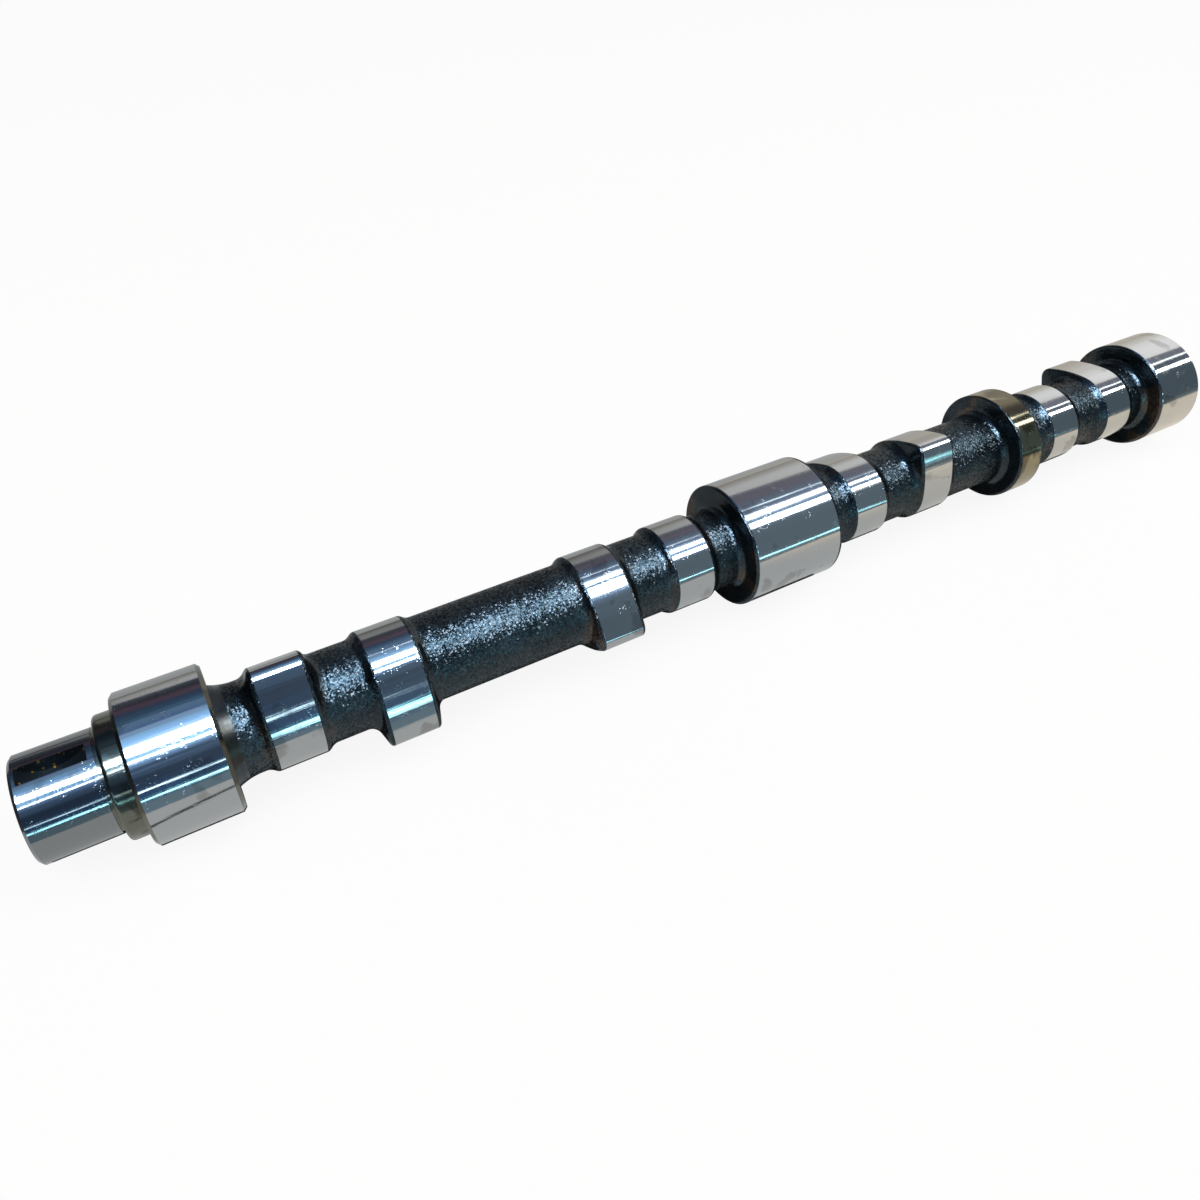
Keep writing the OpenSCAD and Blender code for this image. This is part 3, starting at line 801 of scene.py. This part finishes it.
# Glowing strips run along the shaft on a tunnel round it, and only the metal sees them, apart from the top
# light, which only lights. Each place along a strip gives its lower and upper edge, in degrees above the
# viewer's horizon and over the top, and how bright it is there. Across it, colours run from edge to edge.
tunnel = {
    "topLight": {
        "edges": [(-2500, 60, 100, 2.5), (3500, 60, 100, 2.5)],
        "across": [(0, "#ffffff"), (1, "#ffffff")],
        "rear": "#ffffff", "lights": True},
    "nearTube": {
        "edges": [(-700, 61.4, 63, 16), (-290, 61.4, 63, 16), (-72, 63, 64.6, 36), (300, 61.8, 66, 36),
                  (560, 61.4, 67.8, 28), (724, 61.2, 69, 13), (1143, 61, 70, 13), (2358, 65.5, 70, 20),
                  (3500, 66, 70, 20)],
        "across": [(0, "#d6e9fb"), (1, "#d6e9fb")],
        "rear": "#eef3f2"},
    "farTube": {
        "edges": [(-700, 72.4, 82.6, 38), (-72, 72.4, 82.6, 46), (300, 74.2, 83.6, 38),
                  (1143, 79, 86, 12), (2358, 85, 87.4, 3.2), (3500, 85, 87.5, 3.2)],
        "across": [(0, "#d2e7fb"), (1, "#d2e7fb")],
        "rear": "#eef3f2"},
    "tubeRim": {
        "edges": [(-700, 83, 88.2, 2.3), (-72, 83, 88.2, 2.3), (1143, 76.5, 88, 1.6),
                  (1800, 80, 88, 0.5)],
        "across": [(0, "#b9dcff"), (0.8, "#b9dcff"), (1, "#8fb8e0")],
        "rear": "#e4f1f6", "streaks": 0.1},
    "farEdge": {
        "edges": [(60, 104, 104.2, 1), (300, 102, 103.4, 3.5), (1143, 96.6, 98.2, 4),
                  (1800, 96, 96.2, 4)],
        "across": [(0, "#9fc3d6"), (0.5, "#e0f2fa"), (1, "#9fc3d6")],
        "rear": "#cfe6ee", "streaks": 0.1},
    "lampPanel": {
        "edges": [(-700, 56, 106, 1.9), (-72, 56, 106, 1.9), (1143, 57.5, 90, 1.3), (2358, 64, 90, 0.6),
                  (3500, 64, 90, 0.6)],
        "across": [(0, "#5d78a0"), (0.1, "#82b0d9"), (0.28, "#94cdff"), (0.68, "#90c4fa"),
                   (0.82, "#81afd6"), (0.9, "#6b89a8"), (0.96, "#829cb7"), (1, "#6381ac")],
        "rear": "#7c8594", "streaks": 0.1},
    "upperSlit": {
        "edges": [(-2500, 19.4, 21.2, 4), (-290, 19.4, 21.2, 4), (-72, 20, 21.8, 6), (110, 19.9, 21.3, 4),
                  (300, 19.8, 20.2, 1.5), (500, 19.8, 19.9, 1)],
        "across": [(0, "#a8dcf4"), (0.5, "#e6faff"), (1, "#a8dcf4")],
        "rear": "#a0c4d0", "streaks": 0.1},
    "lowerSlit": {
        "edges": [(-2500, 6, 8.2, 7), (-290, 6, 8.2, 7), (-72, 6.9, 9, 8), (110, 6.9, 9.6, 5),
                  (300, 6.6, 10.6, 6), (724, 5.5, 8, 6), (1143, 3.9, 5.9, 7), (1562, 2, 5, 3),
                  (2100, 2, 2.2, 1)],
        "across": [(0, "#7ed2e6"), (0.5, "#b4f2fa"), (1, "#7ed2e6")],
        "rear": "#a6ecf4", "streaks": 0.1},
    "pastPanel": {
        "edges": [(-2500, 50, 110, 1), (-690, 50, 110, 1)],
        "across": [(0, "#2b3036"), (1, "#2b3036")],
        "rear": "#2b3036"},
    "nearCurtain": {
        "edges": [(-2500, 8.2, 57, 1), (-72, 9, 57, 1), (1143, 5.6, 58, 1.6), (1562, 5, 58, 1.6),
                  (2358, -1, 64, 1), (3500, -1, 64, 1)],
        "across": [(0, "#3a6690"), (0.1, "#2f4a7c"), (0.3, "#3d6288"), (0.5, "#34455f"),
                   (0.65, "#41566f"), (0.85, "#567292"), (1, "#7397c6")],
        "rear": "#5c6a72", "rearFrom": -0.2, "rearTo": 0.9, "streaks": 0.35, "dim": True},
    "lowCurtain": {
        "edges": [(-2500, -1, 6, 1), (-72, -1, 6.7, 1), (1143, -1, 3.4, 1), (1562, -1, 2, 1),
                  (2100, -1, 2, 1)],
        "across": [(0, "#7e959f"), (1, "#4f6f92")],
        "rear": "#7e959f", "streaks": 0.2, "dim": True},
    "farCurtain": {
        "edges": [(-2500, 106, 175, 1), (-300, 106, 175, 1), (-72, 106, 160, 1), (1143, 90, 137, 1.1),
                  (2358, 90, 105, 1), (3500, 90, 102, 1)],
        "across": [(0, "#5f80b0"), (0.14, "#7090b4"), (0.3, "#4c6f8c"), (0.5, "#344460"),
                   (0.63, "#6a5560"), (0.8, "#353946"), (1, "#4f5761")],
        "rear": "#8a8d99", "streaks": 0.15, "dim": True},
    "farScreen": {
        "edges": [(-2500, 175, 181, 0.3), (-300, 174, 181, 0.3), (-72, 159.5, 181, 0.6),
                  (110, 156, 181, 0.6), (300, 152.3, 181, 0.32), (724, 144.1, 181, 0.35),
                  (912, 140.5, 181, 0.5), (1143, 136, 181, 0.75), (2358, 103, 181, 1.38),
                  (3500, 102, 181, 1.38)],
        "across": [(0, "#ffffff"), (0.45, "#f6f8f8"), (0.75, "#cfcdc7"), (1, "#a8a39a")],
        "rear": "#fff6ea", "rearMost": 0.15, "streaks": 0.15, "dim": True},
}


def glowMaterial(name, part):
    # Even glow in a few soft steps across the strip, broken into streaks that run along it
    material, tree = newMaterial(name)
    across = addNode(tree, "ShaderNodeAttribute", attribute_name="across")
    level = addNode(tree, "ShaderNodeAttribute", attribute_name="level")
    where = addNode(tree, "ShaderNodeTexCoord").outputs["Object"]
    drawn = addNode(tree, "ShaderNodeMapping", {
        "Vector": where, "Scale": (scaleFor(4000), scaleFor(62.5), scaleFor(62.5))})
    streaks = addNode(tree, "ShaderNodeTexNoise", {
        "Vector": drawn, "Scale": 1.0, "Detail": 5.0, "Roughness": 0.65})
    most = part.get("streaks", 0.0)
    drift = addNode(tree, "ShaderNodeMapRange", {
        "Value": streaks, "From Min": 0.25, "From Max": 0.75, "To Min": -most, "To Max": most})
    spot = addNode(tree, "ShaderNodeMath", {0: across.outputs["Fac"], 1: drift}, operation="ADD")
    tone = addNode(tree, "ShaderNodeValToRGB", {"Fac": spot})
    fillRamp(tone.color_ramp, part["across"])
    station = addNode(tree, "ShaderNodeSeparateXYZ", {0: where})
    rearShare = addNode(tree, "ShaderNodeMapRange", {
        "Value": station, "From Min": part.get("rearFrom", 0.2), "From Max": part.get("rearTo", 1.9),
        "To Max": part.get("rearMost", 0.95)})
    colour = addNode(tree, "ShaderNodeMixRGB", {
        "Fac": rearShare, "Color1": tone, "Color2": hexColour(part["rear"])})
    glow = addNode(tree, "ShaderNodeEmission", {"Color": colour, "Strength": level.outputs["Fac"]})
    addNode(tree, "ShaderNodeOutputMaterial", {"Surface": glow})
    if part.get("dim"):
        material.cycles.emission_sampling = "NONE"  # too dim and wide to be worth aiming rays at
    return material


def hang(name, verts, faces, material, marks=(), lights=False):
    mesh = bpy.data.meshes.new(name)
    mesh.from_pydata(verts, [], faces)
    for mark, values in dict(marks).items():
        mesh.attributes.new(mark, "FLOAT", "POINT").data.foreach_set("value", values)
    mesh.materials.append(material)
    screen = bpy.data.objects.new(name, mesh)
    bpy.context.collection.objects.link(screen)
    screen.visible_camera = screen.visible_shadow = screen.visible_transmission = False
    screen.visible_diffuse, screen.visible_glossy = lights, not lights


for order, (name, part) in enumerate(tunnel.items()):
    verts, faces, across, level, columns = [], [], [], [], strips["columns"]
    reach = (strips["radius"] + strips["apart"] * order) * mm  # a little behind the one before
    for x, low, high, bright in part["edges"]:
        for k in range(columns + 1):
            up = math.radians(low + (high - low) * k / columns)
            verts.append((x * mm, -reach * math.cos(up), reach * math.sin(up)))
            across.append(k / columns)
            level.append(bright)
    for row in range(len(part["edges"]) - 1):
        for k in range(columns):
            a = row * (columns + 1) + k
            faces.append((a, a + columns + 1, a + columns + 2, a + 1))
    hang(name, verts, faces, glowMaterial(name, part), {"across": across, "level": level},
         part.get("lights", False))

# Flat cards under the shaft, a dark one where it shades them, and dark screens past both ends, each by its
# corners. Only the metal sees them.
cards = {
    "nearCard": {
        "corners": [(-130, -3000, 0.3), (3500, -3000, 0.3), (3500, 20, 0.3), (-130, 20, 0.3)],
        "tone": "#cbcecd", "rear": "#fbf1de", "from": 0.27, "to": 0.54},
    "farCard": {
        "corners": [(-130, 20, 0.3), (3500, 20, 0.3), (3500, 3000, 0.3), (-130, 3000, 0.3)],
        "tone": "#b3b6b7", "rear": "#cfc9bc", "from": 0.3, "to": 0.6},
    "shadeCard": {
        "corners": [(-45, -12.5, 0.6), (-14.5, -13, 0.6), (-14.5, -20.5, 0.6), (14.5, -20.5, 0.6),
                    (20, -13, 0.6), (210, -13, 0.6), (211, -22.5, 0.6), (253, -22.5, 0.6),
                    (254, -14, 0.6), (447, -14, 0.6), (448, 8, 0.6), (478, 8, 0.6), (478, 40, 0.6),
                    (-45, 40, 0.6)],
        "tone": "#2f3133", "rear": "#4b4a47", "from": 0.2, "to": 0.5},
    "lowCard": {
        "corners": [(-2500, -2200, 0.6), (-2500, -145, 0.6), (-60, -145, 0.6), (0, -176, 0.6),
                    (300, -340, 0.6), (600, -600, 0.6), (680, -225, 0.6), (3500, -225, 0.6),
                    (3500, -2200, 0.6)],
        "tone": "#7a929f", "rear": "#69757b", "from": 0.3, "to": 0.9},
    "pastCard": {
        "corners": [(-2500, -3000, 0.4), (-130, -3000, 0.4), (-130, 3000, 0.4), (-2500, 3000, 0.4)],
        "tone": "#3f454b"},
    "slitCard": {
        "corners": [(-22, -59, 0.9), (-22, -52, 0.9), (30, -102, 0.9), (30, -120, 0.9)],
        "tone": "#54585c"},
    "frontScreen": {
        "corners": [(-2500, -3000, 0), (-2500, 3000, 0), (-2500, 3000, 1600), (-2500, -3000, 1600)],
        "tone": "#2b3036"},
    "rearScreen": {
        "corners": [(3500, -3000, 0), (3500, 3000, 0), (3500, 3000, 1600), (3500, -3000, 1600)],
        "tone": "#4c5258"},
}
for name, part in cards.items():
    material, tree = newMaterial(name)
    where = addNode(tree, "ShaderNodeTexCoord").outputs["Object"]
    station = addNode(tree, "ShaderNodeSeparateXYZ", {0: where})
    share = addNode(tree, "ShaderNodeMapRange", {
        "Value": station, "From Min": part.get("from", 0.0), "From Max": part.get("to", 1.0)})
    tone = part["tone"]
    colour = addNode(tree, "ShaderNodeMixRGB", {
        "Fac": share, "Color1": hexColour(tone), "Color2": hexColour(part.get("rear", tone))})
    glow = addNode(tree, "ShaderNodeEmission", {"Color": colour, "Strength": 1.0})
    addNode(tree, "ShaderNodeOutputMaterial", {"Surface": glow})
    material.cycles.emission_sampling = "NONE"
    verts = [(x * mm, y * mm, rest + z * mm) for x, y, z in part["corners"]]
    hang(name, verts, [tuple(range(len(verts)))], material)

# White for the rays that see it, and a pale floor and a low even light for the rays that light the shaft
backdrop = {"light": 0.3, "floorTone": "#f2f1ee", "floorWhite": 0.9, "floorReach": 6000}


def seenDirectly(tree):
    rays = addNode(tree, "ShaderNodeLightPath")
    seen = addNode(tree, "ShaderNodeMath", {
        0: rays.outputs["Is Camera Ray"], 1: rays.outputs["Is Glossy Ray"]}, operation="MAXIMUM")
    return addNode(tree, "ShaderNodeMath", {
        0: seen, 1: rays.outputs["Is Transmission Ray"]}, operation="MAXIMUM")


world = bpy.data.worlds.new("studio")
bpy.context.scene.world = world
world.use_nodes = True
tree = world.node_tree
tree.nodes.clear()
level = addNode(tree, "ShaderNodeMapRange", {
    "Value": seenDirectly(tree), "To Min": backdrop["light"], "To Max": 1.0})
sky = addNode(tree, "ShaderNodeBackground", {"Color": (1, 1, 1, 1), "Strength": level})
addNode(tree, "ShaderNodeOutputWorld", {"Surface": sky})

floorMaterial, tree = newMaterial("paleFloor")
share = addNode(tree, "ShaderNodeMath", {
    0: seenDirectly(tree), 1: backdrop["floorWhite"]}, operation="MULTIPLY")
matt = addNode(tree, "ShaderNodeBsdfDiffuse", {"Color": hexColour(backdrop["floorTone"])})
white = addNode(tree, "ShaderNodeEmission", {"Color": (1, 1, 1, 1), "Strength": 1.0})
blend = addNode(tree, "ShaderNodeMixShader", {0: share, 1: matt, 2: white})
addNode(tree, "ShaderNodeOutputMaterial", {"Surface": blend})
floorMaterial.cycles.emission_sampling = "NONE"
size = backdrop["floorReach"] * mm
floorMesh = bpy.data.meshes.new("floor")
verts = [(-size, -size, rest), (size, -size, rest), (size, size, rest), (-size, size, rest)]
floorMesh.from_pydata(verts, [], [(0, 1, 2, 3)])
floorMesh.materials.append(floorMaterial)
floor = bpy.data.objects.new("floor", floorMesh)
bpy.context.collection.objects.link(floor)

camera = {
    "lens": 29.711,
    "shiftY": -0.07643,
    "place": (17.32, -213.22, 282.84),
    "turn": (46.634, -3.2415, -29.2975),
    "sensor": 36.0,
    "clip": (0.01, 50.0),
}
lens = bpy.data.cameras.new("photoCamera")
lens.lens, lens.sensor_width, lens.shift_y = camera["lens"], camera["sensor"], camera["shiftY"]
lens.clip_start, lens.clip_end = camera["clip"]
eye = bpy.data.objects.new("photoCamera", lens)
eye.location = [v * mm for v in camera["place"]]
eye.rotation_euler = [math.radians(v) for v in camera["turn"]]
bpy.context.collection.objects.link(eye)
bpy.context.scene.camera = eye
bpy.context.scene.view_settings.view_transform = "Standard"
print("studio and camera set")

bpy.context.view_layer.update()
